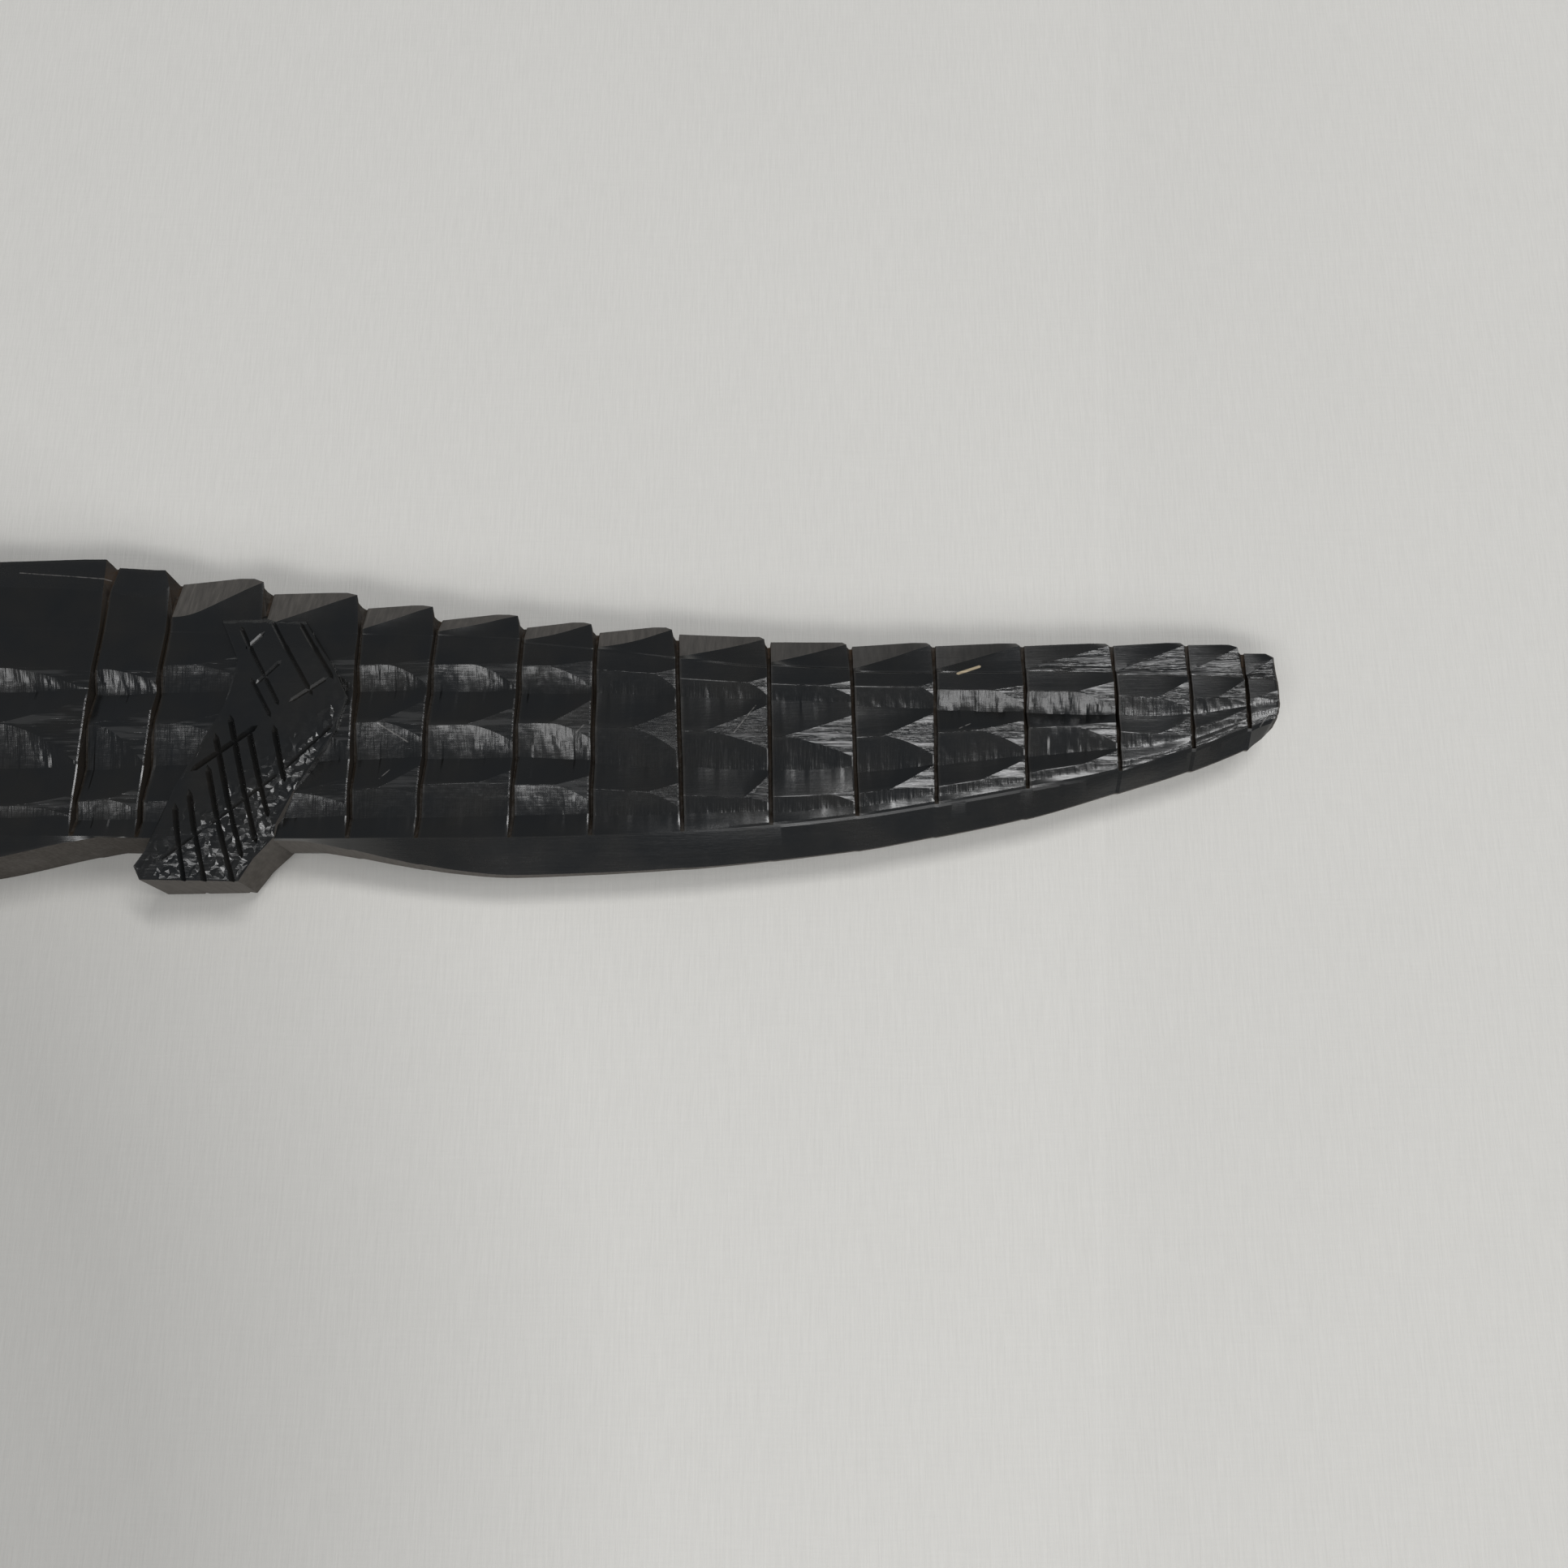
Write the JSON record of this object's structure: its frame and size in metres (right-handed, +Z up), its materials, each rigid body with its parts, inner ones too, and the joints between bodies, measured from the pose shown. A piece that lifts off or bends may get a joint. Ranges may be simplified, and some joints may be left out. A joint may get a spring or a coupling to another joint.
{
  "type": "wooden alligator carving",
  "caption": "Slab-cut dark wood alligator figure with kerfed, gouged scales, hatched legs and a long tapering tail, lying on its flank.",
  "frame": {"origin": "bottom centre of the whole carving's box as it lies, on the surface under its right flank", "axes": "+X towards the tip of the tail, +Y towards the back (the soles face -Y), +Z up out of the left flank"},
  "size_m": [0.39, 0.0576, 0.014],
  "materials": {
    "blackwood": "hand-carved near-black wood with a worn satin polish, brown dust in the saw kerfs"
  },
  "bodies": {
    "root": {"alligator_carving": "blackwood"}
  },
  "joints": []
}
